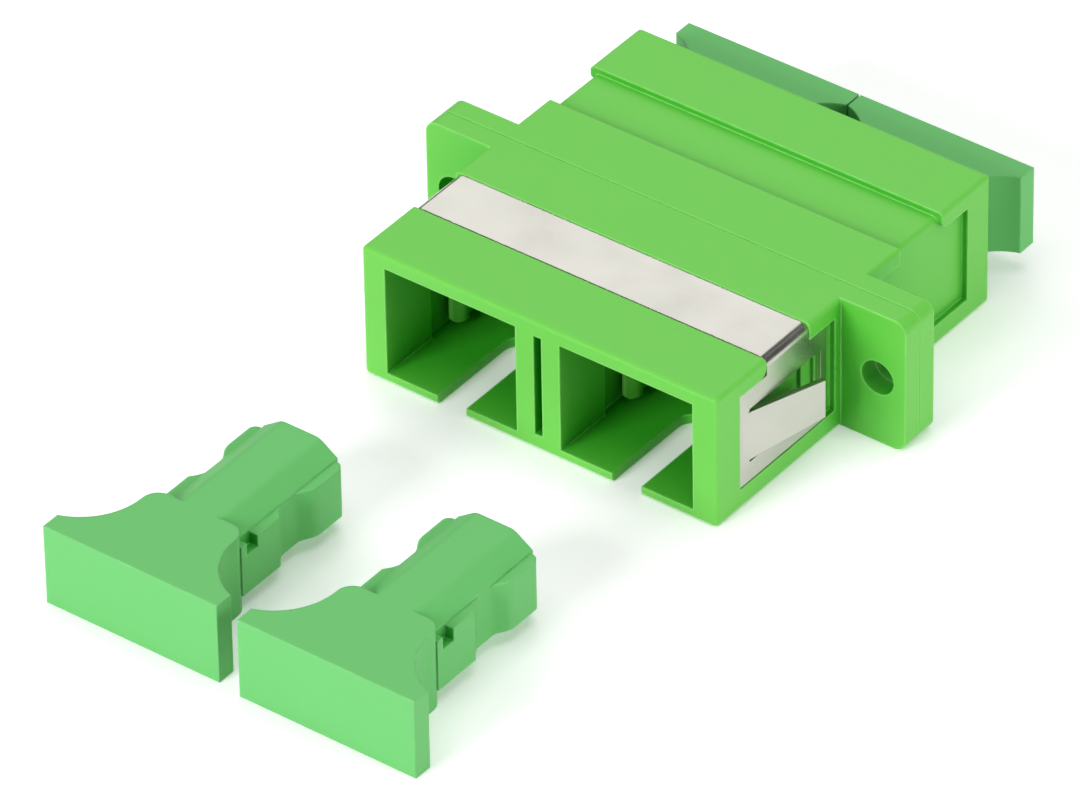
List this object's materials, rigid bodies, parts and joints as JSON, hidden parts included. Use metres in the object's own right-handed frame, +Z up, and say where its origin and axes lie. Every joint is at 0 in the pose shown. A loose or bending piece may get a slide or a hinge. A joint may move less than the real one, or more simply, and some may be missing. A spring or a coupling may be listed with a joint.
{
  "type": "sc fibre adapter",
  "caption": "Flanged fibre adapter block with through ports, a folded steel panel clip, inner latch holders, alignment sleeves and push-in dust caps.",
  "frame": {"origin": "on the flat base, under the middle of the mounting flange and midway between the two ports", "axes": "+X across the two ports, +Y through the ports from the clip side to the rear side, +Z up"},
  "size_m": [0.0348, 0.0597, 0.0092],
  "materials": {
    "housing_green": "satin moulded",
    "holder_green": "satin moulded",
    "cap_green": "soft matte moulded",
    "clip_steel": "bright rolled sheet",
    "sleeve_ceramic": "polished ceramic"
  },
  "bodies": {
    "adapter": {"housing_front": "housing_green", "housing_rear": "housing_green", "panel_clip": "clip_steel", "latch_holder_front_left": "holder_green", "latch_holder_front_right": "holder_green", "latch_holder_rear_left": "holder_green", "latch_holder_rear_right": "holder_green", "split_sleeve_left": "sleeve_ceramic", "split_sleeve_right": "sleeve_ceramic"},
    "cap_front_left": {"dust_cap_front_left": "cap_green"},
    "cap_front_right": {"dust_cap_front_right": "cap_green"},
    "cap_rear_left": {"dust_cap_rear_left": "cap_green"},
    "cap_rear_right": {"dust_cap_rear_right": "cap_green"}
  },
  "joints": [
    {"name": "front_left_cap_push_in", "type": "slide", "parent": "adapter", "child": "cap_front_left", "axis": [0.0646, 0.9954, 0.0708], "range_m": [0, 0.02401]},
    {"name": "front_right_cap_push_in", "type": "slide", "parent": "adapter", "child": "cap_front_right", "axis": [0, 0.9975, 0.0701], "range_m": [0, 0.02426]},
    {"name": "rear_left_cap_pull_out", "type": "slide", "parent": "adapter", "child": "cap_rear_left", "axis": [0, 1, 0], "range_m": [0, 0.016]},
    {"name": "rear_right_cap_pull_out", "type": "slide", "parent": "adapter", "child": "cap_rear_right", "axis": [0, 1, 0], "range_m": [0, 0.016]}
  ]
}
